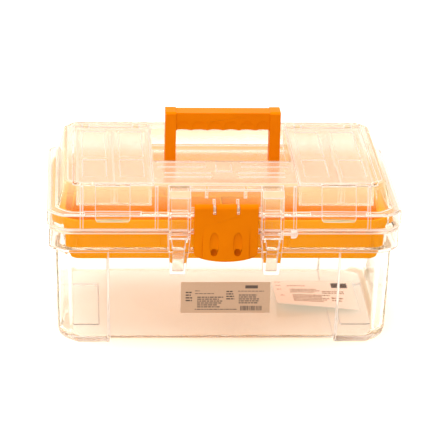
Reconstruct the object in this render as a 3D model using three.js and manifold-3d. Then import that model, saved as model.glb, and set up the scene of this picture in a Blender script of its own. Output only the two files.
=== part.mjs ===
// Clear art supply box with an orange carrying handle, front latch and lift-out tray.
// Millimetres. X is the width, -Y the front, +Z up. The origin is the middle of the
// footprint, on the surface that the box stands on.
import * as THREE from 'three';
import { mergeVertices } from 'three/addons/utils/BufferGeometryUtils.js';
import Module from 'manifold-3d';

const wasm = await Module();
wasm.setup();

// ---- Driving dimensions -------------------------------------------------------------
const BOX_WIDTH = 330;
const BOX_DEPTH = 194;
const REACH_Y = 106;            // how far the latch guides and the hinges stand from the middle
const CORNER = 15;              // corner size of the rim, a chamfer with soft ends
const CORNER_STEPS = 6;
const CORNER_POWER = 2 / 1.35;  // 2 would be a straight chamfer and 1 a round corner
const WALL = 2.2;
const GAP = 0.3;                // between separate pieces that touch

const FOOT_HEIGHT = 3;
const BAND_BOTTOM = 95;         // the wide band round the top of the tub
const PARTING = 118;            // where the lid meets the tub
const LEDGE = 134;              // the step round the foot of the lid's dome
const DECK = 161.2;             // the lid's flat top
const BAND_INSET = 1.8;
const RIM_LIP = 6;              // width of the flat rim that carries the tray
const TUB_INSET = 10;
const TUB_DRAFT = 2.7;
const BOTTOM_RADIUS = 12;       // at the ends of the tub
const FRONT_ROUND = 0.25;       // how much of that the front and back edges have
const PANEL_HALF = 106;         // half the plain front panel, between the corner columns
const SIDE_PANEL_HALF = 50;
const COLUMN_PROUD = 2;
const COLUMN_SLOPE = 2.5;       // width of the slope at a column's edge

const DOME_FOOT_INSET = [9.6, 6.5];
const DOME_TOP_INSET = [15.5, 10.2];
const DOME_EDGE = 2.2;

const BIN_X = [70, 136];        // inside of a top compartment, right side
const BIN_Y = [-81, 65];
const BIN_FLOOR = 139.4;
const BIN_WALL = 1.8;
const BIN_LID_X = [67.5, 140.5];
const BIN_LID_FRONT = -86.8;
const BIN_LID_THICK = 2;
const BIN_HINGE = { y: 72, z: DECK - 0.7, radius: 2.4, pin: 1.1 };
const BIN_LUG_INSET = [9, 15];  // where a hinge lug stands in from the lid's edge
const DIVIDER_X = { left: 103, right: 107.5 };
const DIVIDER_HALF = 0.8;
const TAB = { x: 104.5, half: 16.2, bottom: 127, round: 4.5 };
const NOTCH = { half: 26, reach: 5.4, depth: 1.2 };   // in the ledge, under a tab

const WELL_HALF = 65.4;         // the handle's recess
const WELL_Y = [-25, 66];
const WELL_FLOOR = 139.6;
const EAR_THICK = 2;
const EAR_PLAY = 0.5;
const EAR_RADIUS = 6.8;

const HANDLE = {
  half: 54.3, arm: 10.1, y: -14, halfDepth: 9, top: 208, grip: 18, pivotZ: 150, pin: 1.6,
};
const GRIP_RIPPLES = 6;
const RIPPLE_DEPTH = 0.7;

const GUIDE = { inner: 33, outer: 53, top: 159, split: 113.2, bottom: 71.8, wall: 2 };
const GUIDE_TOE = -92;          // front of a latch guide's foot
const GUIDE_KNEE = 103;         // where the guide's face turns upright
const GUIDE_TAPER = [3.6, 1.8]; // how much narrower its foot is, inside and outside

const LATCH = {
  half: 29.6, y: -100.3, z: 141.3, radius: 4.4, bottom: 90, round: 9, plate: 3, pin: 1.5,
};
const LATCH_PANEL = { half: 21.5, foot: 104, top: 125, inset: 0.9 };
const HOOK = { half: 20, tip: -94.3, low: 91.6, high: 94.4 };
const LUG_X = 10.9;
const LUG_HALF = 0.9;
const LUG_PLAY = 0.6;
const LUG_RADIUS = 3.5;
const FLUTE = { depth: 2.1, halfLength: 12, halfWidth: 4.3, z: 107.5, dimpleZ: 99.6 };

const HINGE = { y: 101.8, z: PARTING + 0.4, radius: 4.2, pin: 1.5, x: 95, half: 22, knuckle: 13 };
const PIN_PLAY = 0.3;

const TRAY = {
  top: 126.6, flange: 118.4, bottom: 83.8, half: [150, 81], rim: [159.4, 91.4], wall: 1.8,
  radius: 9, rimCorner: 22,
};
const TRAY_WALLS = { y: -5.2, x: 49, half: 0.8 };

const TAG = { y: -101.9, z: 117, shank: 1.5, head: 4.1, x: [48, 66.6], dome: 3.2, rim: 6.5 };
const LABEL = { x: [-40, 44], z: [30.7, 62.3], thick: 0.4 };
const CARD = { width: 79, depth: 70, thick: 0.5, place: [97, 15], curl: 7 };

// ---- Materials ----------------------------------------------------------------------
const clear = () => new THREE.MeshStandardMaterial({
  color: 0xf3ebe9, roughness: 0.12, metalness: 0, transparent: true, opacity: 0.35,
});
const orange = () => new THREE.MeshStandardMaterial({ color: 0xff7a08, roughness: 0.35, metalness: 0 });
const steel = () => new THREE.MeshStandardMaterial({ color: 0xc4c6c9, roughness: 0.3, metalness: 1 });
const paper = (color) => new THREE.MeshStandardMaterial({ color, roughness: 0.85, metalness: 0 });

// ---- Solids -------------------------------------------------------------------------
function toSolid(geometry) {
  const bare = geometry.clone();
  bare.deleteAttribute('normal');
  bare.deleteAttribute('uv');
  const merged = mergeVertices(bare, 1e-4);
  return new wasm.Manifold(new wasm.Mesh({
    numProp: 3,
    vertProperties: Float32Array.from(merged.attributes.position.array),
    triVerts: Uint32Array.from(merged.index.array),
  }));
}

function toMesh(name, solid, material) {
  const { numProp, vertProperties, triVerts } = solid.getMesh();
  const geometry = new THREE.BufferGeometry();
  const positions = new Float32Array((vertProperties.length / numProp) * 3);
  for (let i = 0; i < positions.length / 3; i += 1) {
    for (let k = 0; k < 3; k += 1) positions[3 * i + k] = vertProperties[numProp * i + k];
  }
  geometry.setAttribute('position', new THREE.BufferAttribute(positions, 3));
  geometry.setIndex(new THREE.BufferAttribute(Uint32Array.from(triVerts), 1));
  geometry.computeVertexNormals();
  const mesh = new THREE.Mesh(geometry, material);
  mesh.name = name;
  return mesh;
}

const union = (first, ...rest) => rest.reduce((sum, solid) => sum.add(solid), first);
const cut = (first, ...rest) => rest.reduce((left, solid) => left.subtract(solid), first);
const bothSides = (make) => [1, -1].map(make);

const FLAT_ENDS = { bevelEnabled: false, curveSegments: 10 };
const CROSS_AXES = new THREE.Matrix4().set(0, 0, 1, 0, 1, 0, 0, 0, 0, 1, 0, 0, 0, 0, 0, 1);

// A box given by its low and high sides; an X pair is mirrored when side is -1.
function box([x0, x1], [y0, y1], [z0, z1], side = 1) {
  const geometry = new THREE.BoxGeometry(x1 - x0, y1 - y0, z1 - z0);
  geometry.translate((side * (x0 + x1)) / 2, (y0 + y1) / 2, (z0 + z1) / 2);
  return toSolid(geometry);
}

const outlineOf = (points) => new THREE.Shape(points.map(([u, v]) => new THREE.Vector2(u, v)));

// A rod along X.
function rod([x0, x1], y, z, radius, side = 1, segments = 16) {
  const geometry = new THREE.CylinderGeometry(radius, radius, x1 - x0, segments);
  geometry.rotateZ(Math.PI / 2);
  geometry.translate((side * (x0 + x1)) / 2, y, z);
  return toSolid(geometry);
}

// A side profile of [y, z] points, or a Shape of them, drawn out along X.
function slabX(profile, [x0, x1], side = 1) {
  const shape = profile instanceof THREE.Shape ? profile : outlineOf(profile);
  const geometry = new THREE.ExtrudeGeometry(shape, { ...FLAT_ENDS, depth: x1 - x0 });
  geometry.applyMatrix4(CROSS_AXES);
  geometry.translate(side > 0 ? x0 : -x1, 0, 0);
  return toSolid(geometry);
}

// A front outline in X and Z drawn out along Y.
function slabY(shape, [y0, y1]) {
  const geometry = new THREE.ExtrudeGeometry(shape, { ...FLAT_ENDS, depth: y1 - y0 });
  geometry.rotateX(Math.PI / 2);
  geometry.translate(0, y1, 0);
  return toSolid(geometry);
}

// A plan outline in X and Y raised along Z.
function slabZ(shape, [z0, z1]) {
  const geometry = new THREE.ExtrudeGeometry(shape, { ...FLAT_ENDS, depth: z1 - z0 });
  geometry.translate(0, 0, z0);
  return toSolid(geometry);
}

// One ring of a stack: a rectangle with soft chamfered corners, at one height.
function ringPoints({ x, y, corner, z }) {
  const points = [];
  for (let quarter = 0; quarter < 4; quarter += 1) {
    const signX = quarter === 1 || quarter === 2 ? -1 : 1;
    const signY = quarter > 1 ? -1 : 1;
    for (let step = 0; step <= CORNER_STEPS; step += 1) {
      const share = quarter % 2 ? CORNER_STEPS - step : step;
      const angle = (share / CORNER_STEPS) * (Math.PI / 2);
      const alongX = Math.max(Math.cos(angle), 0) ** CORNER_POWER;
      const alongY = Math.max(Math.sin(angle), 0) ** CORNER_POWER;
      points.push(signX * (x - corner + corner * alongX), signY * (y - corner + corner * alongY), z);
    }
  }
  return points;
}

// A solid skinned over rings from the lowest to the highest, with flat ends.
function stack(rings) {
  const count = 4 * (CORNER_STEPS + 1);
  const index = [];
  for (let i = 1; i < count - 1; i += 1) index.push(0, i + 1, i);
  for (let level = 0; level < rings.length - 1; level += 1) {
    for (let i = 0; i < count; i += 1) {
      const next = (i + 1) % count;
      const low = level * count;
      const high = low + count;
      index.push(low + i, low + next, high + next, low + i, high + next, high + i);
    }
  }
  const last = (rings.length - 1) * count;
  for (let i = 1; i < count - 1; i += 1) index.push(last, last + i, last + i + 1);
  const geometry = new THREE.BufferGeometry();
  const positions = new Float32Array(rings.flatMap(ringPoints));
  geometry.setAttribute('position', new THREE.BufferAttribute(positions, 3));
  geometry.setIndex(index);
  return toSolid(geometry);
}

// A ring inset from the rim by dx and dy.
function ring(dx, dy, z, corner = CORNER) {
  return { x: BOX_WIDTH / 2 - dx, y: BOX_DEPTH / 2 - dy, corner, z };
}

// Rings of a quarter round at the foot of a wall, from its flat bottom up. The front and
// back are rounded less than the ends.
function footRings(dx, dy, z, radius, corner, steps = 5) {
  return Array.from({ length: steps + 1 }, (_, step) => {
    const angle = (step / steps) * (Math.PI / 2);
    const inset = radius * (1 - Math.sin(angle));
    return ring(dx + inset, dy + FRONT_ROUND * inset, z + radius * (1 - Math.cos(angle)), corner);
  });
}

// ---- Tub ----------------------------------------------------------------------------
const tubWallInset = (z) => TUB_INSET + (TUB_DRAFT * (BAND_BOTTOM - z)) / BAND_BOTTOM;

// One latch guide below the parting line: a tapered pocket, open at the top.
function lowerGuide(side) {
  const { inner, outer, bottom, split } = GUIDE;
  const front = -REACH_Y;
  const back = -BOX_DEPTH / 2 + TUB_INSET + 1;
  const wedge = slabX([
    [back, bottom], [GUIDE_TOE, bottom], [front, GUIDE_KNEE], [front, split], [back, split],
  ], [inner, outer], side);
  const [taperIn, taperOut] = GUIDE_TAPER;
  const outline = outlineOf([
    [inner + taperIn, bottom], [outer - taperOut, bottom], [outer, split], [inner, split],
  ].map(([x, z]) => [side * x, z]));
  return wedge.intersect(slabY(outline, [front, back]));
}

// What hollows a lower guide out: a wide mouth, and a throat that follows the sloping front.
function lowerGuidePocket(side) {
  const { inner, outer, bottom, split, wall } = GUIDE;
  const face = -REACH_Y + WALL;
  const band = -BOX_DEPTH / 2 + BAND_INSET - 0.01;
  const panel = -BOX_DEPTH / 2 + TUB_INSET - 1;
  const mouth = split - 4;
  const step = GUIDE_KNEE + 0.1;
  const floor = bottom + 2 * wall;
  const throat = slabX([
    [panel - 1, floor], [GUIDE_TOE + 0.5, floor], [face, GUIDE_KNEE], [face, step],
    [band, step], [band, BAND_BOTTOM - 1], [panel, BAND_BOTTOM - 1],
  ], [inner + 2.5 * wall, outer - 2 * wall], side);
  return union(
    box([inner + 2 * wall, outer - 1.5 * wall], [face, band], [GUIDE_KNEE, split + 1], side),
    box([inner + wall, outer - wall], [face, band], [mouth, split + 1], side),
    throat,
  );
}

// Where one corner column stands, seen in plan. Its edges slope back to the panels.
function columnPlan(sideX, sideY) {
  const front = BOX_DEPTH / 2 - tubWallInset(0);
  const end = BOX_WIDTH / 2 - tubWallInset(0);
  const past = COLUMN_PROUD + 1.5;
  const slopeX = PANEL_HALF + COLUMN_SLOPE;
  const slopeY = SIDE_PANEL_HALF + COLUMN_SLOPE;
  const points = [
    [PANEL_HALF, 0], [PANEL_HALF, front - 1], [slopeX, front + past], [slopeX, BOX_DEPTH],
    [BOX_WIDTH, BOX_DEPTH], [BOX_WIDTH, slopeY], [end + past, slopeY], [end - 1, SIDE_PANEL_HALF],
    [PANEL_HALF + 10, SIDE_PANEL_HALF], [PANEL_HALF + 10, 0],
  ];
  const ordered = sideX * sideY > 0 ? points.slice().reverse() : points;
  return slabZ(outlineOf(ordered.map(([x, y]) => [sideX * x, sideY * y])), [0, BAND_BOTTOM + 1]);
}

function baseTub() {
  const corner = CORNER - 3;
  const wallTop = tubWallInset(BAND_BOTTOM);
  const wallLow = tubWallInset(BOTTOM_RADIUS);
  const outer = stack([
    ...footRings(wallLow, wallLow, FOOT_HEIGHT, BOTTOM_RADIUS, corner),
    ring(wallTop, wallTop, BAND_BOTTOM, corner),
    ring(BAND_INSET + 1, BAND_INSET + 1, BAND_BOTTOM),
    ring(BAND_INSET, BAND_INSET, BAND_BOTTOM + 1),
    ring(BAND_INSET, BAND_INSET, PARTING),
  ]);
  const proud = wallLow - COLUMN_PROUD;
  const column = stack([
    ...footRings(proud, proud, 0, BOTTOM_RADIUS, corner),
    ring(wallTop - COLUMN_PROUD, wallTop - COLUMN_PROUD, BAND_BOTTOM + 0.5, corner),
  ]);
  const corners = bothSides((sideX) => bothSides(
    (sideY) => column.intersect(columnPlan(sideX, sideY)),
  )).flat();
  const inside = wallTop + WALL;
  const insideLow = wallLow + WALL;
  const insideBand = BAND_INSET + WALL;
  const insideLip = BAND_INSET + RIM_LIP;
  const cavity = stack([
    ...footRings(insideLow, insideLow, FOOT_HEIGHT + WALL, BOTTOM_RADIUS - WALL, corner - 1),
    ring(inside, inside, BAND_BOTTOM + WALL, corner - 1),
    ring(insideBand, insideBand, BAND_BOTTOM + WALL, CORNER - 1),
    ring(insideBand, insideBand, PARTING - 4, CORNER - 1),
    ring(insideLip, insideLip, PARTING - WALL, CORNER - 3),
    ring(insideLip, insideLip, PARTING + 1, CORNER - 3),
  ]);
  const guides = bothSides(lowerGuide).map((guide) => guide.subtract(outer));
  const hinges = bothSides(baseKnuckles).flat();
  const shell = cut(union(outer, ...corners), cavity);
  return cut(
    union(shell, ...guides, ...hinges), ...bothSides(lowerGuidePocket), ...bothSides(hingeBore),
  );
}

const hingeBore = (side) => rod(
  [HINGE.x - HINGE.half - 1, HINGE.x + HINGE.half + 1], HINGE.y, HINGE.z, HINGE.pin + PIN_PLAY, side,
);

// The two outer knuckles of one back hinge, with the webs that join them to the band.
function baseKnuckles(side) {
  const back = BOX_DEPTH / 2 - BAND_INSET - 0.5;
  const { x, y, z, radius, half, knuckle } = HINGE;
  const webTop = z - 0.9;
  return [[x - half, x - half + knuckle], [x + half - knuckle, x + half]].map((span) => union(
    rod(span, y, z, radius, side),
    slabX([[back, z - 14.4], [y + 2.5, z - 3], [y, webTop], [back, webTop]], span, side),
  ));
}

// ---- Lid ----------------------------------------------------------------------------
function lidBody(grow) {
  const [footX, footY] = DOME_FOOT_INSET;
  const [topX, topY] = DOME_TOP_INSET;
  return stack([
    ring(-grow, -grow, PARTING + GAP),
    ring(-grow, -grow, LEDGE - 1),
    ring(1 - grow, 1 - grow, LEDGE),
    ring(footX - 1.5 - grow, footY - 1.5 - grow, LEDGE + 0.4),
    ring(footX - grow, footY - grow, LEDGE + 2.4, CORNER - 1),
    ring(topX - grow, topY - grow, DECK - DOME_EDGE, CORNER - 3),
    ring(topX + 0.7 - grow, topY + 0.7 - grow, DECK - 0.9, CORNER - 3),
    ring(topX + DOME_EDGE - grow, topY + DOME_EDGE - grow, DECK, CORNER - 4),
  ]);
}

function lidCavity() {
  const [footX, footY] = DOME_FOOT_INSET;
  const [topX, topY] = DOME_TOP_INSET;
  return stack([
    ring(WALL + 0.4, WALL + 0.4, PARTING, CORNER - 1),
    ring(WALL + 0.4, WALL + 0.4, LEDGE - WALL, CORNER - 1),
    ring(footX + WALL, footY + WALL, LEDGE - WALL, CORNER - 2),
    ring(topX + WALL, topY + WALL, DECK - WALL - 1.5, CORNER - 4),
    ring(topX + WALL + 1.5, topY + WALL + 1.5, DECK - WALL, CORNER - 5),
  ]);
}

// One latch guide on the lid: a box standing out from the dome and the skirt.
function upperGuide(side) {
  const { inner, outer, top, split } = GUIDE;
  const dome = -BOX_DEPTH / 2 + DOME_TOP_INSET[1] + WALL;
  const skirt = -BOX_DEPTH / 2 + 1;
  const face = -BOX_DEPTH / 2 - 0.7;
  return slabX([
    [-REACH_Y, split + 0.5], [-REACH_Y, top - 5], [-REACH_Y + 5, top], [dome, top],
    [dome, LEDGE], [skirt, LEDGE - 2], [skirt, PARTING + GAP], [face, PARTING + GAP],
    [face, split + 0.5],
  ], [inner, outer], side);
}

function upperGuidePocket(side) {
  const { inner, outer, top, split, wall } = GUIDE;
  const skirt = -BOX_DEPTH / 2 - 0.01;
  const dome = -BOX_DEPTH / 2 + DOME_FOOT_INSET[1] - 0.5;
  const span = [inner + wall, outer - wall];
  return union(
    box(span, [-REACH_Y + WALL, skirt], [split, top - 3 * wall], side),
    box(span, [skirt - 1, dome], [LEDGE + 2.5, top - 2 * wall], side),
  );
}

const grown = ([low, high], by) => [low - by, high + by];

const binOuter = (side) => union(
  box(grown(BIN_X, BIN_WALL), grown(BIN_Y, BIN_WALL), [BIN_FLOOR - BIN_WALL, DECK - 1], side),
  box([BIN_LID_X[0] - 2, BIN_LID_X[1] + 1], [BIN_Y[1], BIN_HINGE.y + 5], [DECK - 5.6, DECK - 1], side),
);

// What is taken out of the deck for one compartment: its inside, the lid's seat and the
// hinge groove.
function binInner(side) {
  const seat = grown(BIN_LID_X, 0.5);
  const { y } = BIN_HINGE;
  return union(
    box(BIN_X, BIN_Y, [BIN_FLOOR, DECK + 1], side),
    box(seat, [-BOX_DEPTH / 2, y - 1], [DECK - BIN_LID_THICK - GAP, DECK + 1], side),
    box(seat, [y - 3.4, y + 3], [DECK - 3.6, DECK + 1], side),
  );
}

const dividerX = (side) => (side > 0 ? DIVIDER_X.right : DIVIDER_X.left);

// Slots in the compartment's end walls that hold its divider.
function dividerGuides(side) {
  const stand = DIVIDER_HALF + 1.1;
  return [BIN_Y[0] - 0.5, BIN_Y[1] - 2.5].flatMap((y) => [-stand, stand].map((offset) => {
    const x = dividerX(side) + offset;
    return box([x - 0.7, x + 0.7], [y, y + 3], [BIN_FLOOR - 0.5, DECK - 8], side);
  }));
}

const wellOuter = () => box(
  [-WELL_HALF - BIN_WALL, WELL_HALF + BIN_WALL], grown(WELL_Y, BIN_WALL),
  [WELL_FLOOR - BIN_WALL, DECK - 1],
);

function wellInner() {
  const [front, back] = WELL_Y;
  return slabX([
    [front, WELL_FLOOR], [back - 5, WELL_FLOOR], [back - 1, WELL_FLOOR + 4], [back, DECK + 1],
    [front, DECK + 1],
  ], [-WELL_HALF, WELL_HALF]);
}

// One of the ears that carry a handle pin, as a profile in Y and Z.
function earProfile() {
  const shape = new THREE.Shape();
  shape.moveTo(WELL_Y[0] - 0.5, WELL_FLOOR - 0.5);
  shape.lineTo(HANDLE.y + 14, WELL_FLOOR - 0.5);
  shape.lineTo(HANDLE.y + 6, HANDLE.pivotZ + 2);
  shape.absarc(HANDLE.y, HANDLE.pivotZ, EAR_RADIUS, 0.3, Math.PI, false);
  shape.lineTo(WELL_Y[0] - 0.5, HANDLE.pivotZ);
  return shape;
}

const EAR_X = [
  [HANDLE.half - HANDLE.arm - EAR_PLAY - EAR_THICK, HANDLE.half - HANDLE.arm - EAR_PLAY],
  [HANDLE.half + EAR_PLAY, HANDLE.half + EAR_PLAY + EAR_THICK],
];

// Lid side of the latch hinge: a canopy, two lugs for the pin and two gussets above them.
function latchMount() {
  const { y, z } = LATCH;
  const wall = -BOX_DEPTH / 2 + DOME_TOP_INSET[1];
  const front = -BOX_DEPTH / 2;
  const span = [LUG_X - LUG_HALF, LUG_X + LUG_HALF];
  const lugs = bothSides((side) => union(
    rod(span, y, z, LUG_RADIUS, side),
    slabX([[y, z - LUG_RADIUS], [wall, z - 5.5], [wall, z + 5], [y, z + LUG_RADIUS]], span, side),
  ));
  const canopy = box(
    [-GUIDE.inner - 1, GUIDE.inner + 1], [front + 0.5, wall + 3], [GUIDE.top - WALL, GUIDE.top],
  );
  const gussets = bothSides((side) => slabX([
    [wall, z + 5], [front + 4, z + 9], [front + 2, GUIDE.top - 1], [wall, GUIDE.top - 1],
  ], [17, 19], side));
  return union(canopy, ...lugs, ...gussets);
}

// Low ridges across the plain part of the deck, stopping either side of the middle pad.
function deckRidges() {
  const rows = [
    { y: -31, span: [17, 62] }, { y: -44, span: [17, 62] },
    { y: -60, span: [13, 56] }, { y: -71, span: [13, 56] },
  ];
  const ridges = rows.flatMap(({ y, span }) => bothSides(
    (side) => box(span, [y, y + 1.4], [DECK - 1, DECK + 0.7], side),
  ));
  const pad = box([-7, 7], [-57, -36], [DECK - 1, DECK + 1.2]);
  return union(pad, ...ridges);
}

// Ribs down the front of the lid, following its steps.
const frontRibs = () => [64, 133].flatMap((x) => bothSides((side) => lidBody(0.8).intersect(
  box([x - 1, x + 1], [-BOX_DEPTH, -60], [PARTING, DECK - 3], side),
)));

// The ledge is cut down a little where each compartment lid's tab hangs over it.
function tabNotch(side) {
  const front = -BOX_DEPTH / 2;
  return box(
    [TAB.x - NOTCH.half, TAB.x + NOTCH.half], [front - 3, front + NOTCH.reach],
    [LEDGE - NOTCH.depth, LEDGE + 1], side,
  );
}

// The middle knuckle of one back hinge.
function lidKnuckle(side) {
  const { x, y, z, radius, half, knuckle } = HINGE;
  const span = [x - half + knuckle + 0.6, x + half - knuckle - 0.6];
  const back = BOX_DEPTH / 2 - 1;
  return union(
    rod(span, y, z, radius, side),
    slabX([[back, z], [y, z], [y + 2.5, z + 3], [back, LEDGE - 3]], span, side),
  );
}

function lidShell() {
  const cups = union(wellOuter(), ...bothSides(binOuter));
  const ears = EAR_X.flatMap((span) => bothSides((side) => slabX(earProfile(), span, side)));
  const dome = cut(union(lidBody(0), ...frontRibs()), lidCavity());
  const full = union(dome, cups, ...bothSides(upperGuide), latchMount(), deckRidges());
  const shell = cut(
    full, wellInner(), ...bothSides(binInner), ...bothSides(tabNotch),
    ...bothSides(upperGuidePocket),
  );
  const knuckles = bothSides((side) => union(lidKnuckle(side), ...binLidLugs(side)));
  const guides = bothSides(dividerGuides).flat();
  return cut(
    union(shell, ...ears, ...knuckles, ...guides),
    rod([-GUIDE.inner + 0.2, GUIDE.inner - 0.2], LATCH.y, LATCH.z, LATCH.pin + PIN_PLAY),
    tagHole(),
    ...bothSides(hingeBore),
    ...bothSides((side) => rod(
      [EAR_X[0][0] - 1, EAR_X[1][1] + 1], HANDLE.y, HANDLE.pivotZ, HANDLE.pin + PIN_PLAY, side,
    )),
    ...bothSides((side) => rod(
      BIN_LID_X, BIN_HINGE.y, BIN_HINGE.z, BIN_HINGE.pin + PIN_PLAY, side,
    )),
  );
}

// ---- Compartment lids ---------------------------------------------------------------
const LUG_SPANS = [
  [BIN_LID_X[0] + BIN_LUG_INSET[0], BIN_LID_X[0] + BIN_LUG_INSET[1]],
  [BIN_LID_X[1] - BIN_LUG_INSET[1], BIN_LID_X[1] - BIN_LUG_INSET[0]],
];

const binLidLugs = (side) => LUG_SPANS.map((span) => union(
  rod(span, BIN_HINGE.y, BIN_HINGE.z, BIN_HINGE.radius, side),
  box(span, [BIN_HINGE.y, BIN_HINGE.y + 4], [DECK - 5, DECK], side),
));

// The tab that hangs from a compartment lid's front edge over the ledge and snaps under it.
function snapTab(side) {
  const { x, half, bottom, round } = TAB;
  const profile = slabX([
    [BIN_LID_FRONT + 1, DECK], [BIN_LID_FRONT - 1, DECK], [-98.2, 135.4], [-99.6, 130],
    [-100.4, 127.6], [-98.6, 127.6], [-97.5, 130.5], [-97.5, 134.6], [-88.4, DECK - 2.6],
    [BIN_LID_FRONT + 1, DECK - 2],
  ], [x - half, x + half], side);
  const left = side * x - half;
  const right = side * x + half;
  const outline = new THREE.Shape();
  outline.moveTo(left, DECK + 1);
  outline.lineTo(left, bottom + round);
  outline.absarc(left + round, bottom + round, round, Math.PI, 1.5 * Math.PI, false);
  outline.absarc(right - round, bottom + round, round, 1.5 * Math.PI, 2 * Math.PI, false);
  outline.lineTo(right, DECK + 1);
  return profile.intersect(slabY(outline, [-110, -80]));
}

function binLid(side) {
  const [low, high] = BIN_LID_X;
  const { y, z, radius, pin } = BIN_HINGE;
  const back = y - 3.8;
  const plate = slabZ(outlineOf([
    [low, BIN_LID_FRONT], [high - 6, BIN_LID_FRONT], [high, BIN_LID_FRONT + 7], [high, back],
    [low, back],
  ].map(([u, v]) => [side * u, v])), [DECK - BIN_LID_THICK, DECK]);
  const knuckle = union(
    rod([low, high], y, z, radius, side),
    box([low, high], [y - 4.5, y], [DECK - BIN_LID_THICK, DECK], side),
  );
  const slots = LUG_SPANS.map(
    (span) => box(grown(span, 0.5), [back, y + 6], [DECK - 6, DECK + 6], side),
  );
  const panels = [[75, 97], [110, 132]].flatMap((spanX) => [[-69, -23], [-15, 56]].map(
    (spanY) => box(spanX, spanY, [DECK - 0.6, DECK + 1], side),
  ));
  const bore = rod([low - 1, high + 1], y, z, pin + PIN_PLAY, side);
  return cut(union(plate, knuckle, snapTab(side)), ...slots, ...panels, bore);
}

// The loose plate that splits a compartment along its length.
function binDivider(side) {
  const x = dividerX(side);
  const span = [x - DIVIDER_HALF, x + DIVIDER_HALF];
  const plate = box(span, grown(BIN_Y, -0.6), [BIN_FLOOR + GAP, DECK - 4], side);
  const dip = box(grown(span, 0.2), [-30, 14], [DECK - 7, DECK], side);
  return cut(plate, dip);
}

// ---- Handle -------------------------------------------------------------------------
function handle() {
  const { half, arm, y, halfDepth, top, grip, pivotZ, pin } = HANDLE;
  const [front, back] = [y - halfDepth, y + halfDepth];
  const profile = new THREE.Shape();
  profile.moveTo(back, pivotZ);
  profile.lineTo(back, top - 0.8);
  profile.lineTo(back - 0.8, top);
  profile.lineTo(front + 2, top);
  profile.lineTo(front, top - 1.6);
  profile.lineTo(front, pivotZ);
  profile.absarc(y, pivotZ, halfDepth, Math.PI, 2 * Math.PI, false);
  const arms = bothSides((side) => slabX(profile, [half - arm, half], side));
  const hollowHalf = half - arm - 2;
  const bar = cut(
    slabY(gripOutline(), [front + 1, back - 1]),
    box([-hollowHalf, hollowHalf], [front + 3.4, back - 3.4], [top - grip - 1, top - 3.2]),
    ...gripRipples(front + 1),
  );
  return cut(union(...arms, bar), rod([-half - 1, half + 1], y, pivotZ, pin + PIN_PLAY));
}

// The grip seen from the front: straight on top and rippled below.
function gripOutline() {
  const { half, arm, top, grip } = HANDLE;
  const end = half - arm + 1;
  const low = top - grip;
  const pitch = (2 * end) / GRIP_RIPPLES;
  const shape = new THREE.Shape();
  shape.moveTo(-end, top - 0.8);
  shape.lineTo(end, top - 0.8);
  shape.lineTo(end, low);
  for (let i = 0; i < GRIP_RIPPLES; i += 1) {
    const start = end - i * pitch;
    shape.quadraticCurveTo(start - pitch / 2, low + 2 * RIPPLE_DEPTH, start - pitch, low);
  }
  return shape;
}

// Shallow finger hollows along the lower half of the grip's front.
function gripRipples(face) {
  const { half, arm, top, grip } = HANDLE;
  const pitch = (2 * (half - arm + 1)) / GRIP_RIPPLES;
  return Array.from({ length: GRIP_RIPPLES }, (_, i) => {
    const geometry = new THREE.SphereGeometry(1, 14, 10);
    geometry.scale(0.46 * pitch, RIPPLE_DEPTH, grip / 3);
    geometry.translate((i + 0.5 - GRIP_RIPPLES / 2) * pitch, face, top - grip + 3);
    return toSolid(geometry);
  });
}

// ---- Latch --------------------------------------------------------------------------
// The latch seen from the front: straight sides and half an ellipse below.
function latchOutline(inset = 0) {
  const { half, z, bottom, round } = LATCH;
  const shape = new THREE.Shape();
  shape.moveTo(-half + inset, z);
  shape.lineTo(-half + inset, bottom + round);
  shape.absellipse(0, bottom + round, half - inset, round - inset, Math.PI, 2 * Math.PI, false);
  shape.lineTo(half - inset, z);
  return shape;
}

// A finger flute in the latch's face: a long shallow scoop that ends in a deep dimple.
function flute(x) {
  const front = LATCH.y - LATCH.radius;
  const { depth, halfLength, halfWidth, z, dimpleZ } = FLUTE;
  const scoop = new THREE.SphereGeometry(1, 16, 12);
  scoop.scale(halfWidth, depth, halfLength);
  scoop.rotateX(-0.1);
  scoop.translate(x, front - 1.3, z);
  const dimple = new THREE.SphereGeometry(1, 12, 8);
  dimple.scale(3.2, 3.3, 3.6);
  dimple.translate(x, front - 0.4, dimpleZ);
  return union(toSolid(scoop), toSolid(dimple));
}

// What a pin lug needs: a slot through the knuckle and clearance behind the plate.
function lugSlot(side) {
  const { y, z, radius, plate } = LATCH;
  const slotHalf = LUG_HALF + LUG_PLAY;
  const span = [LUG_X - slotHalf, LUG_X + slotHalf];
  return union(
    box(span, [y - 8, y + 8], [z - 4.9, z + 8], side),
    box(span, [y - radius + plate - 0.2, y + 8], [z - 9, z + 8], side),
  );
}

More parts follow.
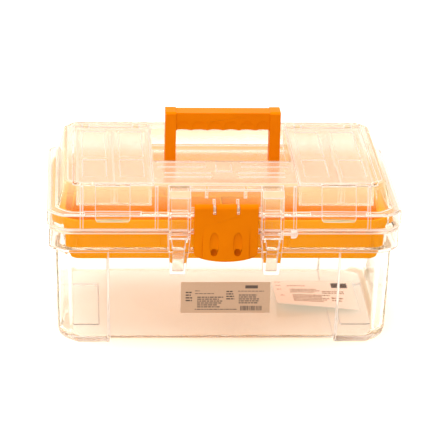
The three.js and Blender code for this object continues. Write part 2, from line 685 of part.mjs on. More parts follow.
function latch() {
  const { half, y, z, radius, plate, bottom, pin } = LATCH;
  const front = y - radius;
  const back = front + plate;
  const raised = -REACH_Y;
  const face = slabY(latchOutline(), [front, back]);
  const knuckle = rod([-half, half], y, z, radius, 1, 24);
  const cheeks = bothSides((side) => slabX([
    [front + 1, z], [front + 1, 96], [back + 1, 98], [y + 2.5, 128], [y + 3.5, z],
  ], [half - 2, half], side));
  const hook = slabX([
    [back - 1, bottom], [back + 3, bottom + 0.6], [HOOK.tip, HOOK.low], [HOOK.tip, HOOK.high],
    [HOOK.tip - 1.7, HOOK.high], [HOOK.tip - 3.2, 93], [back - 1, 93],
  ], [-HOOK.half, HOOK.half]);
  const panel = slabX([
    [front + 1, LATCH_PANEL.top], [front, LATCH_PANEL.top], [raised, LATCH_PANEL.foot],
    [raised, bottom], [front + 1, bottom],
  ], [-LATCH_PANEL.half, LATCH_PANEL.half]);
  const centre = panel.intersect(slabY(latchOutline(LATCH_PANEL.inset), [raised - 1, front + 2]));
  const body = union(hook, ...cheeks).intersect(slabY(latchOutline(), [raised, -80]));
  return cut(
    union(face, knuckle, centre, body), ...bothSides(lugSlot), ...[-LUG_X, LUG_X].map(flute),
    rod([-half - 1, half + 1], y, z, pin + PIN_PLAY),
  );
}

// ---- Tray ---------------------------------------------------------------------------
function tray() {
  const { top, flange, bottom, wall, radius, rimCorner } = TRAY;
  const [halfX, halfY] = TRAY.half;
  const [dx, dy] = [BOX_WIDTH / 2 - halfX, BOX_DEPTH / 2 - halfY];
  const [rimX, rimY] = [BOX_WIDTH / 2 - TRAY.rim[0], BOX_DEPTH / 2 - TRAY.rim[1]];
  const corner = CORNER - 8;
  const outer = stack([
    ...footRings(dx, dy, bottom, radius, corner),
    ring(dx - 1, dy - 1, flange, corner),
    ring(rimX, rimY, flange, rimCorner),
    ring(rimX, rimY, top, rimCorner),
  ]);
  const cavity = stack([
    ...footRings(dx + wall, dy + wall, bottom + wall, radius - wall, corner - 1),
    ring(dx - 1 + wall, dy - 1 + wall, flange + wall, corner - 1),
    ring(rimX + wall, rimY + wall, flange + wall, rimCorner - 1),
    ring(rimX + wall, rimY + wall, top + 1, rimCorner - 1),
  ]);
  const ribs = [-137, -60, 60, 137].map((x) => box(
    [x - 0.8, x + 0.8], [-halfY - 0.9, -halfY + 1], [bottom + radius, flange - 0.2],
  ));
  return union(cut(outer, cavity), trayWalls().intersect(outer), ...ribs);
}

// One wall along the tray, two across behind it and one across in front.
function trayWalls() {
  const { x, y, half } = TRAY_WALLS;
  const [endX, endY] = TRAY.half.map((reach) => reach - 1);
  const height = [TRAY.bottom + 1, TRAY.flange - 2];
  return union(
    box([-endX, endX], [y - half, y + half], height),
    box([-half, half], [-endY, y], height),
    ...bothSides((side) => box([x - half, x + half], [y, endY], height, side)),
  );
}

// ---- Pins, paper and the tag --------------------------------------------------------
const tagHole = () => rod([GUIDE.outer - 4, GUIDE.outer + 1], TAG.y, TAG.z, TAG.shank + PIN_PLAY);

// A push-in pin through the right guide, with a mushroom head outside.
function tagPin() {
  const { shank, head, dome, rim } = TAG;
  const [low, high] = TAG.x;
  const steps = 5;
  const crown = Array.from({ length: steps }, (_, i) => {
    const angle = ((i + 1) / steps) * (Math.PI / 2);
    const radius = i + 1 < steps ? head * Math.cos(angle) : 0;
    return [radius, high - dome + dome * Math.sin(angle)];
  });
  const points = [
    [0, low], [shank - 0.6, low], [shank, low + 0.8], [shank, high - rim],
    [head - 0.6, high - rim], [head, high - rim + 0.6], [head, high - dome], ...crown,
  ];
  const geometry = new THREE.LatheGeometry(points.map(([r, x]) => new THREE.Vector2(r, x)), 20);
  geometry.rotateZ(-Math.PI / 2);
  geometry.translate(0, TAG.y, TAG.z);
  return toSolid(geometry);
}

// The sticker lies along the sloping front wall.
function frontLabel() {
  const wallY = (z) => -BOX_DEPTH / 2 + tubWallInset(z);
  const { x, z: [low, high], thick } = LABEL;
  return slabX([[wallY(low) - GAP, low], [wallY(high) - GAP, high], [wallY(high) - GAP - thick, high],
    [wallY(low) - GAP - thick, low]], x);
}

// A loose printed card on the tub's floor, with its front left corner curled up.
function infoCard() {
  const { width, depth, thick, place, curl } = CARD;
  const geometry = new THREE.BoxGeometry(width, depth, thick, 10, 10, 1);
  const position = geometry.attributes.position;
  for (let i = 0; i < position.count; i += 1) {
    const fromRight = 0.5 - position.getX(i) / width;
    const fromBack = 0.5 - position.getY(i) / depth;
    position.setZ(i, position.getZ(i) + curl * fromRight * fromBack ** 2);
  }
  geometry.translate(place[0], place[1], FOOT_HEIGHT + WALL + GAP + thick / 2);
  return toSolid(geometry);
}

const hingePin = (side) => rod(
  [HINGE.x - HINGE.half - 0.5, HINGE.x + HINGE.half + 0.5], HINGE.y, HINGE.z, HINGE.pin, side,
);
const handlePin = (side) => rod(
  [EAR_X[0][0] - 0.4, EAR_X[1][1] + 0.4], HANDLE.y, HANDLE.pivotZ, HANDLE.pin, side,
);
const latchPin = () => rod([-GUIDE.inner + 0.5, GUIDE.inner - 0.5], LATCH.y, LATCH.z, LATCH.pin);
const binLidPin = (side) => rod(
  grown(BIN_LID_X, -0.3), BIN_HINGE.y, BIN_HINGE.z, BIN_HINGE.pin, side, 12,
);

// ---- Assembly -----------------------------------------------------------------------
const artBox = new THREE.Group();
artBox.add(
  toMesh('base_tub', baseTub(), clear()),
  toMesh('lid_shell', lidShell(), clear()),
  toMesh('tray', tray(), orange()),
  toMesh('handle', handle(), orange()),
  toMesh('latch', latch(), orange()),
  toMesh('latch_pin', latchPin(), clear()),
  toMesh('tag_pin', tagPin(), clear()),
  toMesh('front_label', frontLabel(), paper(0x9a7e76)),
  toMesh('info_card', infoCard(), paper(0xf2e6d8)),
);
for (const [word, side] of [['left', -1], ['right', 1]]) {
  artBox.add(
    toMesh(`${word}_bin_lid`, binLid(side), clear()),
    toMesh(`${word}_bin_divider`, binDivider(side), clear()),
    toMesh(`${word}_bin_lid_pin`, binLidPin(side), steel()),
    toMesh(`${word}_handle_pin`, handlePin(side), steel()),
    toMesh(`${word}_hinge_pin`, hingePin(side), steel()),
  );
}

export default artBox;
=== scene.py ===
"""Looks for the clear art supply box: materials, printed details, floor, light and camera.

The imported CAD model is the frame. Its nodes keep their shape and place, and get rounded edges
and materials here. The only pieces added to the object are the thin layers of print.
"""
import math
import random

import bmesh
import bpy
from mathutils import Matrix, Vector
from mathutils.bvhtree import BVHTree


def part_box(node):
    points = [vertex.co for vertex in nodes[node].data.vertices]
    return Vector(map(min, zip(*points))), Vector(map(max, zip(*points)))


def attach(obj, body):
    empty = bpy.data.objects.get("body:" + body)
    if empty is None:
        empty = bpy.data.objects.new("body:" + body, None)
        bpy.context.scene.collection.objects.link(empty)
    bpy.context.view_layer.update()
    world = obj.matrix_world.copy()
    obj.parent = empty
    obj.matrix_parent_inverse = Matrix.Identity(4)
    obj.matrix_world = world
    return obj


MM = 0.001

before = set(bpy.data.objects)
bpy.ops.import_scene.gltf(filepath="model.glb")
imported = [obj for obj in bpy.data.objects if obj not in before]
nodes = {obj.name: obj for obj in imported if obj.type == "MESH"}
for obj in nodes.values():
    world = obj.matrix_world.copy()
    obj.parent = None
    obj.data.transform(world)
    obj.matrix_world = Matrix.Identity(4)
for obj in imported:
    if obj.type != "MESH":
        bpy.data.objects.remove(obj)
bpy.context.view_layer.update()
scene = bpy.context.scene

CLEAR_NODES = ("base_tub", "lid_shell", "left_bin_lid", "right_bin_lid",
               "left_bin_divider", "right_bin_divider")
ORANGE_NODES = ("tray", "handle", "latch")
STEEL_NODES = ("left_handle_pin", "right_handle_pin", "left_hinge_pin", "right_hinge_pin",
               "left_bin_lid_pin", "right_bin_lid_pin")


# ---- Camera -------------------------------------------------------------------------
SENSOR_WIDTH = 36
CAMERA_LENS = 199.8
CAMERA_DISTANCE = 2.394
CAMERA_AZIMUTH = math.radians(3.81)      # from straight in front, towards -X
CAMERA_ELEVATION = math.radians(21.48)
CAMERA_ROLL = math.radians(1.45)
CAMERA_TARGET = Vector((0.0042, 0.0, 0.0872))
CAMERA_REACH = 20                        # the farthest that it sees


def make_camera():
    data = bpy.data.cameras.new("camera")
    data.lens = CAMERA_LENS
    data.sensor_width = SENSOR_WIDTH
    data.clip_end = CAMERA_REACH
    camera = bpy.data.objects.new("camera", data)
    scene.collection.objects.link(camera)
    back = Vector((-math.sin(CAMERA_AZIMUTH) * math.cos(CAMERA_ELEVATION),
                   -math.cos(CAMERA_AZIMUTH) * math.cos(CAMERA_ELEVATION),
                   math.sin(CAMERA_ELEVATION)))
    right = Vector((0, 0, 1)).cross(back).normalized()
    up = back.cross(right)
    turn = Matrix.Rotation(CAMERA_ROLL, 3, back)
    axes = Matrix((turn @ right, turn @ up, back)).transposed()
    place = CAMERA_TARGET + back * CAMERA_DISTANCE
    camera.matrix_world = Matrix.Translation(place) @ axes.to_4x4()
    scene.camera = camera


# ---- Node helpers -------------------------------------------------------------------
class Tree:
    """A material's node tree, with short calls for the nodes used here."""

    def __init__(self, name):
        self.material = bpy.data.materials.new(name)
        self.material.use_nodes = True
        self.nodes = self.material.node_tree.nodes
        self.links = self.material.node_tree.links
        self.nodes.clear()
        self.output = self.nodes.new("ShaderNodeOutputMaterial")
        self.place = self.nodes.new("ShaderNodeTexCoord").outputs["Object"]

    def add(self, kind, inputs=None, **settings):
        """A new node. An input is either another node's socket, to link, or a value."""
        node = self.nodes.new("ShaderNode" + kind)
        for key, value in settings.items():
            setattr(node, key, value)
        for key, value in (inputs or {}).items():
            if isinstance(value, bpy.types.NodeSocket):
                self.links.new(value, node.inputs[key])
            else:
                node.inputs[key].default_value = value
        return node

    def noise(self, scale, detail=3.0, roughness=0.5, stretch=(1, 1, 1)):
        mapping = self.add("Mapping", {"Vector": self.place, "Scale": stretch})
        return self.add("TexNoise", {"Vector": mapping.outputs[0], "Scale": scale,
                                     "Detail": detail, "Roughness": roughness}).outputs["Fac"]

    def spread(self, value, low, high, from_low=0.3, from_high=0.7):
        """Maps from_low..from_high, by default a noise's usual range, to low..high."""
        return self.add("MapRange", {"Value": value, "From Min": from_low, "From Max": from_high,
                                     "To Min": low, "To Max": high}).outputs[0]

    def math(self, operation, *values):
        return self.add("Math", dict(enumerate(values)), operation=operation).outputs[0]

    def product(self, first, second):
        return self.math("MULTIPLY", first, second)

    def total(self, first, second):
        return self.math("ADD", first, second)

    def facing(self, axis):
        """1 on faces that look along an axis of the piece's own frame, either way."""
        normal = self.add("TexCoord").outputs["Normal"]
        return self.math("ABSOLUTE", self.add("SeparateXYZ", {0: normal}).outputs[axis])

    def blend(self, factor, first, second):
        """A mix of two colours."""
        return self.add("Mix", {0: factor, 6: first, 7: second}, data_type="RGBA").outputs[2]

    def mix(self, factor, first, second):
        """A mix of two shaders."""
        return self.add("MixShader", {0: factor, 1: first, 2: second}).outputs[0]

    def bump(self, height, strength, distance):
        return self.add("Bump", {"Height": height, "Strength": strength,
                                 "Distance": distance}).outputs[0]

    def shader(self, kind, **inputs):
        """A shader, with its inputs' names written with _ for each space."""
        return self.add(kind, {key.replace("_", " "): value
                               for key, value in inputs.items()}).outputs[0]

    def finish(self, shader):
        self.links.new(shader, self.output.inputs["Surface"])
        return self.material


# ---- Clear plastic ------------------------------------------------------------------
PLASTIC_IOR = 1.46
FRONT_GLOSS = (0.08, 0.08, 0.08, 1)     # how strongly a wall mirrors when seen face on
CLEAR_TINT = (0.99, 0.98, 0.975, 1)
LIGHT_THROUGH = (0.985, 0.98, 0.975, 1)
CLEAR_ROUGH = (0.05, 0.13)              # on upright and on level faces
RIPPLE_DEPTH = 0.4 * MM

# Milk is the share of a wall's light that scatters, on upright and on level faces. A cloud is
# more milk on the upright faces: (height where it starts, height where it is full, most).
# The milk's colours are partly the plastic's own peach tint and partly painted light: the orange
# light that the tray sends into the walls, yellower on the upright faces.
LEVEL_PEACH_AND_PAINTED_TRAY_LIGHT = (1.0, 0.82, 0.64, 1)
UPRIGHT_GOLD_AND_PAINTED_TRAY_LIGHT = (1.0, 0.93, 0.56, 1)
# On the rounded edges this white milk is a painted highlight that stands for the bright lines
# that refraction draws along them. On the tag pin it is the pin's own milky colour.
MILK_WHITE_AND_EDGE_HIGHLIGHT = (0.98, 0.95, 0.935, 1)
TUB_MILK = {"upright": 0.01, "level": 0.13}
LID_MILK = {"upright": 0.014, "level": 0.15, "cloud": (135 * MM, 160 * MM, 0.32)}
BIN_LID_MILK = {"upright": 0.02, "level": 0.2, "cloud": (131 * MM, 128.6 * MM, 0.6)}
# painted highlight: the rounded edges get a thick white milk that shows as bright lines
EDGE_HIGHLIGHT_MILK = {"upright": 0.75, "level": 0.75, "colour": MILK_WHITE_AND_EDGE_HIGHLIGHT}
TAG_MILK = {"upright": 0.6, "level": 0.6, "colour": MILK_WHITE_AND_EDGE_HIGHLIGHT}
FILLET_MILK = 0.45                      # more on sloping fillets and chamfers
END_MILK = 0.05                         # more on the faces at the box's ends
CLOUD_ON_LEVEL = 0.3                    # how much of a cloud the level faces get
MILK_THROUGH = 0.5                      # share of the scattered light that goes on through
DEEPEST_RAY = 14                        # after so many bounces in the walls a ray is let out

# How far a face lies level runs from 0, upright, to 1. Each pair is where a step in it starts
# and ends.
LEVEL_STEP = (0.3, 0.95)
SLOPE_STEP_IN = (0.5, 0.6)
SLOPE_STEP_OUT = (0.86, 0.94)


def milk_share(tree, lie, level_share, upright, level, cloud):
    """How milky the wall is at each place."""
    slope = tree.product(tree.spread(lie, 0, 1, *SLOPE_STEP_IN),
                         tree.spread(lie, 1, 0, *SLOPE_STEP_OUT))
    by_lie = tree.spread(level_share, upright, level, 0, 1)
    with_fillets = tree.total(by_lie, tree.product(slope, FILLET_MILK))
    share = tree.total(with_fillets, tree.product(tree.facing("X"), END_MILK))
    if cloud:
        start, end, most = cloud
        height = tree.add("SeparateXYZ", {0: tree.place}).outputs["Z"]
        rising = tree.product(tree.spread(height, 0, most, start, end),
                              tree.spread(level_share, 1, CLOUD_ON_LEVEL, 0, 1))
        share = tree.total(share, rising)
    flow_marks = tree.noise(9, 2, 0.5, (1, 1, 2.5))
    return tree.product(share, tree.spread(flow_marks, 0.75, 1.25))


def let_light_pass(tree, wall):
    """Shadow and diffuse rays pass straight through the wall, so that it throws no hard shadow
    on what it holds, and so do rays that are trapped between its faces."""
    path = tree.add("LightPath")
    trapped = tree.math("GREATER_THAN", path.outputs["Ray Depth"], DEEPEST_RAY)
    unseen = tree.math("MAXIMUM", path.outputs["Is Shadow Ray"], path.outputs["Is Diffuse Ray"])
    open_air = tree.shader("BsdfTransparent", Color=LIGHT_THROUGH)
    return tree.mix(tree.math("MAXIMUM", unseen, trapped), wall, open_air)


def clear_plastic(name, upright, level, cloud=None, colour=None):
    """Thin clear moulding: refraction, a faint ripple and flow marks, and milk, which is stronger
    and rougher in the level panels, whose undersides have a fine texture. The milk's colour holds
    painted light: the tray's orange light in the walls, and highlights on the rounded edges."""
    tree = Tree(name)
    lie = tree.facing("Z")
    level_share = tree.spread(lie, 0, 1, *LEVEL_STEP)
    ripple = tree.noise(55, 2, 0.45)
    glass = tree.shader(
        "BsdfPrincipled", Base_Color=CLEAR_TINT, IOR=PLASTIC_IOR, Transmission_Weight=1.0,
        Specular_Tint=FRONT_GLOSS, Roughness=tree.spread(level_share, *CLEAR_ROUGH, 0, 1),
        Normal=tree.bump(ripple, 0.12, RIPPLE_DEPTH))
    # painted light: the milk's colour stands partly for the tray's orange light in the walls, and
    # on the rounded edges for highlights
    milk_tint_and_painted_light = colour or tree.blend(level_share, UPRIGHT_GOLD_AND_PAINTED_TRAY_LIGHT, LEVEL_PEACH_AND_PAINTED_TRAY_LIGHT)
    haze = tree.mix(MILK_THROUGH, tree.shader("BsdfDiffuse", Color=milk_tint_and_painted_light),
                    tree.shader("BsdfTranslucent", Color=milk_tint_and_painted_light))
    milk = milk_share(tree, lie, level_share, upright, level, cloud)
    return tree.finish(let_light_pass(tree, tree.mix(milk, glass, haze)))


# ---- Orange plastic -----------------------------------------------------------------
# Glow is the share of light that comes through the wall. The last entry is how near the walls of
# a hollow have to be for painted shade to darken it.
TRAY_PLASTIC = {"colour": (1.0, 0.54, 0.0, 1), "deep": (0.95, 0.48, 0.0, 1),
                "glow": 0.45, "painted_shade_reach": 2 * MM}
FITTING_PLASTIC = {"colour": (0.88, 0.23, 0.0, 1), "deep": (0.8, 0.185, 0.0, 1),
                   "glow": 0.08, "painted_shade_reach": 8 * MM}
# painted shade: the dark orange that hollows and crevices are darkened towards
PAINTED_SHADE_ORANGE = (0.42, 0.07, 0.0, 1)
THROUGH_ORANGE = (1.0, 0.55, 0.03, 1)
ORANGE_IOR = 1.49
ORANGE_GLOSS = 0.03
GRAIN_DEPTH = 0.08 * MM


def orange_plastic(name, colour, deep, glow, painted_shade_reach):
    """Satin moulded plastic with a fine spark grain, faint mottling, painted shade that darkens
    its hollows, and some light through it."""
    tree = Tree(name)
    mottle = tree.noise(14, 4, 0.6)
    grain = tree.noise(900, 2, 0.6)
    # painted shade: ambient occlusion darkens the colour towards the shade orange in hollows and
    # crevices
    openness = tree.add("AmbientOcclusion", {"Distance": painted_shade_reach},
                        only_local=True, samples=8).outputs["AO"]
    moulded = tree.blend(tree.spread(mottle, 0, 1), colour, deep)
    skin = tree.shader(
        "BsdfPrincipled", IOR=ORANGE_IOR, Specular_IOR_Level=ORANGE_GLOSS,
        Base_Color=tree.blend(tree.spread(openness, 1, 0, 0.15, 0.8), moulded, PAINTED_SHADE_ORANGE),
        Roughness=tree.spread(tree.noise(60, 3, 0.5), 0.3, 0.42),
        Normal=tree.bump(grain, 0.18, GRAIN_DEPTH))
    return tree.finish(tree.mix(glow, skin, tree.shader("BsdfTranslucent", Color=THROUGH_ORANGE)))


# ---- Steel, paper and floor ---------------------------------------------------------
STEEL_DARK = (0.55, 0.56, 0.58, 1)
STEEL_LIGHT = (0.8, 0.8, 0.82, 1)
MARK_DEPTH = 0.05 * MM          # of the wire's marks and of the paper's fibres
LABEL_PAPER = {"light": (0.63, 0.40, 0.26, 1), "dark": (0.57, 0.36, 0.235, 1), "rough": 0.5}
# the card's glow is painted light: an emission that lightens the card where it lies in the box
CARD_PAPER = {"light": (0.95, 0.88, 0.78, 1), "dark": (0.9, 0.8, 0.68, 1), "rough": 0.85,
              "glow": 0.22}
DARK_INK = {"light": (0.10, 0.062, 0.045, 1), "dark": (0.07, 0.045, 0.035, 1), "rough": 0.6}
BROWN_INK = {"light": (0.42, 0.24, 0.12, 1), "dark": (0.34, 0.19, 0.1, 1), "rough": 0.7}
FLOOR_WHITES = ((0.93, 0.93, 0.93, 1), (0.95, 0.95, 0.95, 1))
FLOOR_GREYS = ((0.53, 0.53, 0.53, 1), (0.56, 0.56, 0.56, 1))
FLOOR_GLOW = (1.0, 0.85, 0.5, 1)
FLOOR_GLOW_STRENGTH = 0.3
FLOOR_GLOSS = 0.1


def pin_steel():
    """Drawn wire, with fine marks round it."""
    tree = Tree("pin_steel")
    marks = tree.noise(700, 3, 0.6, (4, 0.3, 0.3))
    return tree.finish(tree.shader(
        "BsdfPrincipled", Metallic=1.0, Base_Color=tree.blend(marks, STEEL_DARK, STEEL_LIGHT),
        Roughness=tree.spread(marks, 0.22, 0.42), Normal=tree.bump(marks, 0.15, MARK_DEPTH)))


def paper(name, light, dark, rough, glow=0.0):
    """Paper, film or ink with fine fibres and slight mottling, and as much painted light of its
    own, an emission that lightens the sheet, as glow asks for."""
    tree = Tree(name)
    fibres = tree.noise(420, 5, 0.7, (1, 2.2, 1))
    mottle = tree.noise(35, 3, 0.5)
    fibrous = tree.blend(tree.spread(fibres, 0, 0.7), light, dark)
    # painted light: an emission in the paper's own colour, as strong as glow
    return tree.finish(tree.shader(
        "BsdfPrincipled", Base_Color=tree.blend(tree.spread(mottle, 0, 0.35), fibrous, light),
        Roughness=rough, Normal=tree.bump(fibres, 0.2, MARK_DEPTH),
        Emission_Color=light, Emission_Strength=glow))


def floor_paint():
    """Plain white sweep, pale to the eye, and greyer in the light that it sends back to the
    box, so that it doesn't veil the front walls."""
    tree = Tree("floor_paint")
    mottle = tree.noise(3, 3, 0.5)
    rough = tree.spread(mottle, 0.6, 0.7)
    seen = tree.shader(
        "BsdfPrincipled", Base_Color=tree.blend(mottle, *FLOOR_WHITES), Roughness=rough,
        Specular_IOR_Level=FLOOR_GLOSS, Emission_Color=FLOOR_GLOW,
        Emission_Strength=FLOOR_GLOW_STRENGTH)
    dim = tree.shader("BsdfPrincipled", Base_Color=tree.blend(mottle, *FLOOR_GREYS),
                      Roughness=rough, Specular_IOR_Level=FLOOR_GLOSS)
    return tree.finish(tree.mix(tree.add("LightPath").outputs["Is Diffuse Ray"], seen, dim))


# ---- Finish of the CAD nodes --------------------------------------------------------
HARD_EDGE = 35                  # degrees between faces, above which an edge is rounded
PIN_EDGE = 60                   # the same on pins, whose round sides stay as they are
CLEAR_ROUNDING = 0.6 * MM
ORANGE_ROUNDING = 0.5 * MM
PIN_ROUNDING = 0.2 * MM
TAG_ROUNDING = 0.25 * MM
JOIN_DISTANCE = 0.001 * MM
NEIGHBOUR_SLOT = -1             # an edge takes the material of the faces beside it
EDGE_SLOT = 1                   # the clear pieces' second material, which paints a highlight on their rounded edges


def give(obj, *materials):
    obj.data.materials.clear()
    for material in materials:
        obj.data.materials.append(material)


def soften(obj, width, angle=HARD_EDGE, edge_slot=NEIGHBOUR_SLOT):
    """Rounds the hard edges of a moulding, after joining its split corners."""
    weld = obj.modifiers.new("weld", "WELD")
    weld.merge_threshold = JOIN_DISTANCE
    bevel = obj.modifiers.new("soft_edges", "BEVEL")
    bevel.width = width
    bevel.segments = 2
    bevel.limit_method = "ANGLE"
    bevel.angle_limit = math.radians(angle)
    bevel.use_clamp_overlap = False
    bevel.material = edge_slot
    for polygon in obj.data.polygons:
        polygon.use_smooth = True
    smooth = obj.modifiers.new("normals", "WEIGHTED_NORMAL")
    smooth.keep_sharp = True


def finish_clear():
    tub = clear_plastic("clear_plastic", **TUB_MILK)
    lid = clear_plastic("clear_lid", **LID_MILK)
    bin_lid = clear_plastic("clear_bin_lid", **BIN_LID_MILK)
    # painted highlight: the milky white material of the rounded edges
    edges = clear_plastic("clear_edges_painted_highlight", **EDGE_HIGHLIGHT_MILK)
    walls = {"base_tub": tub, "lid_shell": lid}
    for name in CLEAR_NODES:
        give(nodes[name], walls.get(name, bin_lid), edges)
        soften(nodes[name], CLEAR_ROUNDING, edge_slot=EDGE_SLOT)
    give(nodes["latch_pin"], tub)
    soften(nodes["latch_pin"], PIN_ROUNDING, PIN_EDGE)
    give(nodes["tag_pin"], clear_plastic("tag_plastic", **TAG_MILK))
    soften(nodes["tag_pin"], TAG_ROUNDING, PIN_EDGE)


def finish_orange():
    fitting = orange_plastic("orange_plastic", **FITTING_PLASTIC)
    give(nodes["tray"], orange_plastic("orange_tray", **TRAY_PLASTIC))
    give(nodes["handle"], fitting)
    give(nodes["latch"], fitting)
    for name in ORANGE_NODES:
        soften(nodes[name], ORANGE_ROUNDING)


def finish_steel():
    steel = pin_steel()
    for name in STEEL_NODES:
        give(nodes[name], steel)
        soften(nodes[name], PIN_ROUNDING, PIN_EDGE)


def finish_sheets():
    give(nodes["front_label"], paper("label_film", **LABEL_PAPER))
    give(nodes["info_card"], paper("card", **CARD_PAPER))


# ---- Print on the label and the card ------------------------------------------------
# Plain blocks stand for the printing. Each block is (left, right, top, bottom, rows) as
# shares of the sheet's width and height, from its top left corner. A bar has no rows, and
# the stripes have their number instead.
LABEL_BLOCKS = (
    (0.055, 0.13, 0.31, 0.66, 4), (0.16, 0.21, 0.27, 0.31, 1), (0.16, 0.37, 0.36, 0.40, 1),
    (0.185, 0.48, 0.47, 0.85, 6), (0.16, 0.63, 0.87, 0.92, 1), (0.51, 0.60, 0.28, 0.60, 4),
    (0.64, 0.93, 0.28, 0.32, 1), (0.65, 0.88, 0.40, 0.72, 5),
)
LABEL_BAR = (0.72, 0.86, 0.10, 0.20)
LABEL_STRIPES = (0.67, 0.92, 0.77, 0.92, 17)
CARD_BLOCKS = (
    (0.02, 0.10, 0.03, 0.06, 1), (0.03, 0.09, 0.15, 0.18, 1), (0.17, 0.40, 0.16, 0.20, 1),
    (0.20, 0.60, 0.30, 0.46, 3), (0.60, 0.90, 0.38, 0.50, 2), (0.22, 0.70, 0.53, 0.84, 5),
    (0.70, 0.85, 0.62, 0.80, 2), (0.04, 0.10, 0.30, 0.34, 1), (0.07, 0.12, 0.56, 0.60, 1),
)
CARD_BAR = (0.73, 0.93, 0.08, 0.25)
LABEL_SEED = 3
STRIPE_SEED = 5
CARD_SEED = 11
WORD_LENGTHS = (0.012, 0.05)
WORD_GAP = 0.007
WORD_HEIGHT = 0.5               # share of the space from row to row
RAGGED = 0.25                   # the most that a row stops short, as a share of its block
STRIPE_WIDTHS = (0.3, 0.7)      # shares of the space from stripe to stripe
INK_BASE = 0.03 * MM
INK_TOP = 0.08 * MM
INK_STEPS = 3


def word_rects(blocks, seed):
    """Rows of short bars of uneven length, like lines of print seen from afar."""
    pick = random.Random(seed)
    rects = []
    for left, right, top, bottom, rows in blocks:
        pitch = (bottom - top) / rows
        for row in range(rows):
            high = top + row * pitch
            start = left
            stop = right - (right - left) * pick.uniform(0, RAGGED) * (rows > 1)
            while start < stop:
                end = min(start + pick.uniform(*WORD_LENGTHS), stop)
                rects.append((start, end, high, high + pitch * WORD_HEIGHT))
                start = end + WORD_GAP
    return rects


def stripe_rects(left, right, top, bottom, count, seed):
    """Upright stripes of uneven width that carry no code."""
    pick = random.Random(seed)
    pitch = (right - left) / count
    return [(left + i * pitch, left + (i + pick.uniform(*STRIPE_WIDTHS)) * pitch, top, bottom)
            for i in range(count)]


def label_surface():
    """Maps shares of the label to points on its sloping outer face."""
    corners = [vertex.co for vertex in nodes["front_label"].data.vertices]
    low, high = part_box("front_label")
    face_low = min(co.y for co in corners if co.z < low[2] + MM)
    face_high = min(co.y for co in corners if co.z > high[2] - MM)
    top = Vector((low[0], face_high, high[2]))
    across = Vector((high[0] - low[0], 0, 0))
    down = Vector((0, face_low - face_high, low[2] - high[2]))
    out = across.cross(down).normalized()
    out *= -1 if out.y > 0 else 1
    return lambda u, v, height: top + across * u + down * v + out * height


def card_surface():
    """Maps shares of the card to points on its curled upper face."""
    mesh = nodes["info_card"].data
    faces = BVHTree.FromPolygons([vertex.co for vertex in mesh.vertices],
                                 [tuple(face.vertices) for face in mesh.polygons])
    low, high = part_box("info_card")

    def at(u, v, height):
        x = low[0] + u * (high[0] - low[0])
        y = high[1] - v * (high[1] - low[1])
        hit = faces.ray_cast(Vector((x, y, high[2] + MM)), Vector((0, 0, -1)))[0]
        return hit + Vector((0, 0, height))

    return at


def ink(name, rects, surface, material):
    """One thin printed layer: a small closed plate for each rectangle, in a few steps across,
    so that it follows the sheet."""
    form = bmesh.new()
    for left, right, top, bottom in rects:
        section = ((top, INK_BASE), (top, INK_TOP), (bottom, INK_TOP), (bottom, INK_BASE))
        rings = []
        for step in range(INK_STEPS + 1):
            u = left + (right - left) * step / INK_STEPS
            rings.append([form.verts.new(surface(u, v, height)) for v, height in section])
        form.faces.new(rings[0])
        form.faces.new(rings[-1][::-1])
        for first, second in zip(rings, rings[1:]):
            for i in range(4):
                j = (i + 1) % 4
                form.faces.new((first[i], second[i], second[j], first[j]))
    bmesh.ops.recalc_face_normals(form, faces=form.faces)
    mesh = bpy.data.meshes.new(name)
    form.to_mesh(mesh)
    form.free()
    piece = bpy.data.objects.new(name, mesh)
    scene.collection.objects.link(piece)
    give(piece, material)
    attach(piece, "base")


def print_sheets():
    dark = paper("ink_dark", **DARK_INK)
    brown = paper("ink_brown", **BROWN_INK)
    words = word_rects(LABEL_BLOCKS, LABEL_SEED)
    stripes = stripe_rects(*LABEL_STRIPES, STRIPE_SEED)
    ink("label_print", words + stripes + [LABEL_BAR], label_surface(), dark)
    card = card_surface()
    ink("card_print", word_rects(CARD_BLOCKS, CARD_SEED), card, brown)
    ink("card_bar", [CARD_BAR], card, dark)


# ---- Floor, room and lights ---------------------------------------------------------
FLOOR_HALF = 6
FLOOR_DROP = 0.2 * MM           # below the feet, so that they don't share a plane
STUDIO_WARMTH = (1.0, 0.965, 0.9)
ROOM_FRONT = 0.95
ROOM_BACK = 1.15
ROOM_FADE = (-0.8, 0.7)         # along Y, where the room's light changes from front to back
LIGHT_TARGET = Vector((0, 0, 0.1))
BOUNCES = 40                    # enough for a ray to get through all of the clear walls
DIFFUSE_BOUNCES = 4
TRANSPARENT_BOUNCES = 48


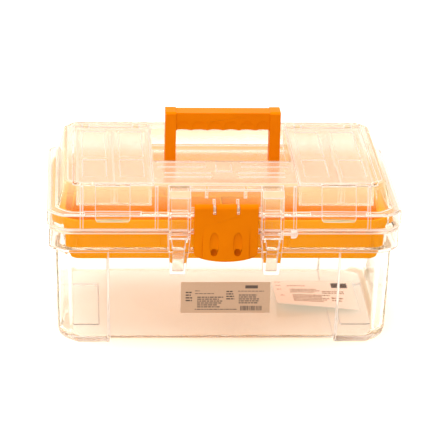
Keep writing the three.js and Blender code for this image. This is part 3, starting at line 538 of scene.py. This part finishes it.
def make_stage():
    mesh = bpy.data.meshes.new("floor")
    grid = bmesh.new()
    bmesh.ops.create_grid(grid, x_segments=8, y_segments=8, size=FLOOR_HALF)
    grid.to_mesh(mesh)
    grid.free()
    floor = bpy.data.objects.new("floor", mesh)
    scene.collection.objects.link(floor)
    floor.location.z = -FLOOR_DROP
    give(floor, floor_paint())


def make_world():
    """A pale room, a little brighter behind the box than in front of it."""
    world = bpy.data.worlds.new("studio")
    scene.world = world
    world.use_nodes = True
    room = world.node_tree.nodes
    links = world.node_tree.links
    direction = room.new("ShaderNodeTexCoord")
    split = room.new("ShaderNodeSeparateXYZ")
    fade = room.new("ShaderNodeMapRange")
    fade.interpolation_type = "SMOOTHSTEP"
    fade.inputs["From Min"].default_value = ROOM_FADE[0]
    fade.inputs["From Max"].default_value = ROOM_FADE[1]
    fade.inputs["To Min"].default_value = ROOM_FRONT
    fade.inputs["To Max"].default_value = ROOM_BACK
    links.new(direction.outputs["Generated"], split.inputs[0])
    links.new(split.outputs["Y"], fade.inputs["Value"])
    backdrop = room["Background"]
    backdrop.inputs["Color"].default_value = (*STUDIO_WARMTH, 1)
    links.new(fade.outputs[0], backdrop.inputs["Strength"])


def area_light(name, place, size, power):
    """A soft light that lights the box but isn't mirrored in it."""
    data = bpy.data.lights.new(name, "AREA")
    data.shape = "RECTANGLE"
    data.size, data.size_y = size
    data.energy = power
    data.color = STUDIO_WARMTH
    lamp = bpy.data.objects.new(name, data)
    scene.collection.objects.link(lamp)
    lamp.location = place
    lamp.rotation_euler = (LIGHT_TARGET - Vector(place)).to_track_quat("-Z", "Y").to_euler()
    lamp.visible_glossy = False


def make_lights():
    area_light("overhead", (-0.2, 0.1, 1.8), (1.6, 1.4), 24)
    area_light("front_left", (-1.3, -1.8, 1.0), (1.0, 1.0), 9)


def set_film():
    scene.view_settings.view_transform = "Standard"
    scene.view_settings.look = "None"
    scene.cycles.max_bounces = BOUNCES
    scene.cycles.transmission_bounces = BOUNCES
    scene.cycles.glossy_bounces = BOUNCES
    scene.cycles.diffuse_bounces = DIFFUSE_BOUNCES
    scene.cycles.transparent_max_bounces = TRANSPARENT_BOUNCES


make_camera()
make_stage()
make_world()
make_lights()
set_film()
finish_clear()
finish_orange()
finish_steel()
finish_sheets()
print_sheets()
